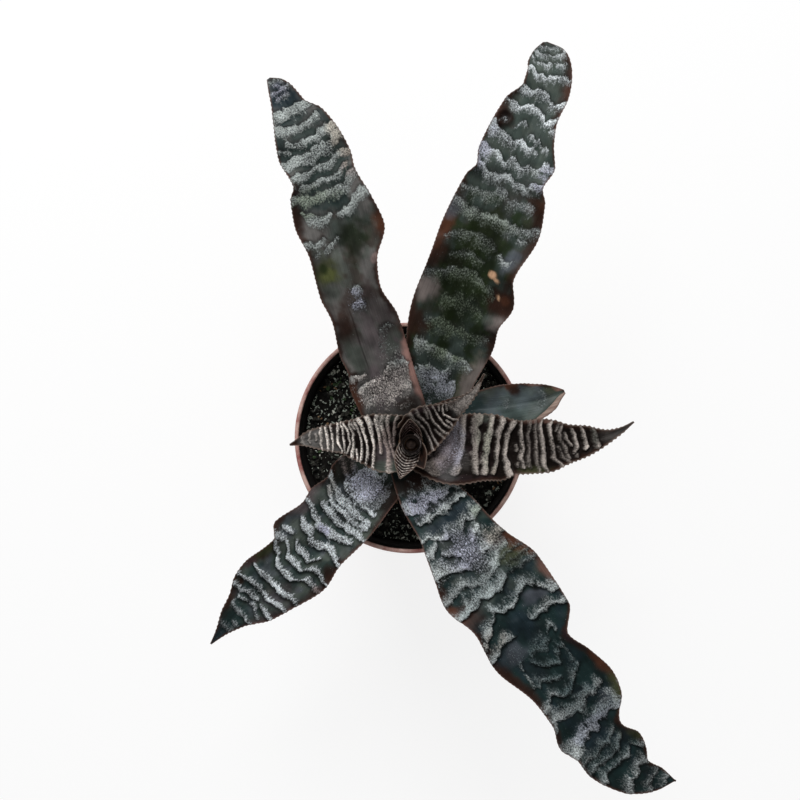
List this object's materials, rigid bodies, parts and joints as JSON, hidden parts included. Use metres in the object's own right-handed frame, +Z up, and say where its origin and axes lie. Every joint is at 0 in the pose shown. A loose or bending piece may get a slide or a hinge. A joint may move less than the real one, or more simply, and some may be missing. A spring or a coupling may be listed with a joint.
{
  "type": "potted earth star bromeliad",
  "caption": "Earth star bromeliad: a flat rosette of wavy, silver-banded strap leaves on a short stem, growing in dark soil in a round terracotta-coloured nursery pot.",
  "frame": {"origin": "centre of the pot's flat underside, where the pot stands", "axes": "+Z up; +Y the way the longest leaves reach at the top of the picture, and +X to its right"},
  "size_m": [0.2078, 0.3318, 0.136],
  "materials": {
    "clay_plastic": "matte, terracotta-coloured, with a little lime crust on the rim",
    "peat": "loose dark peat with white perlite grains",
    "stem_bark": "dry and fibrous",
    "banded_leaf": "dark grey-green with ragged silver cross bands of fine scales",
    "bronze_leaf": "dark bronze with pale cross ribs",
    "plain_leaf": "smooth, satin blue-green"
  },
  "bodies": {
    "root": {"pot": "clay_plastic", "soil": "peat", "stem": "stem_bark", "leaf_1_upper_right": "banded_leaf", "leaf_2_lower_left": "banded_leaf", "leaf_3_smooth": "plain_leaf", "leaf_4_lower_right": "banded_leaf", "leaf_5_upper_left": "banded_leaf", "leaf_6_right": "bronze_leaf", "leaf_7_left": "bronze_leaf", "leaf_8_young": "bronze_leaf", "heart": "bronze_leaf"}
  },
  "joints": []
}
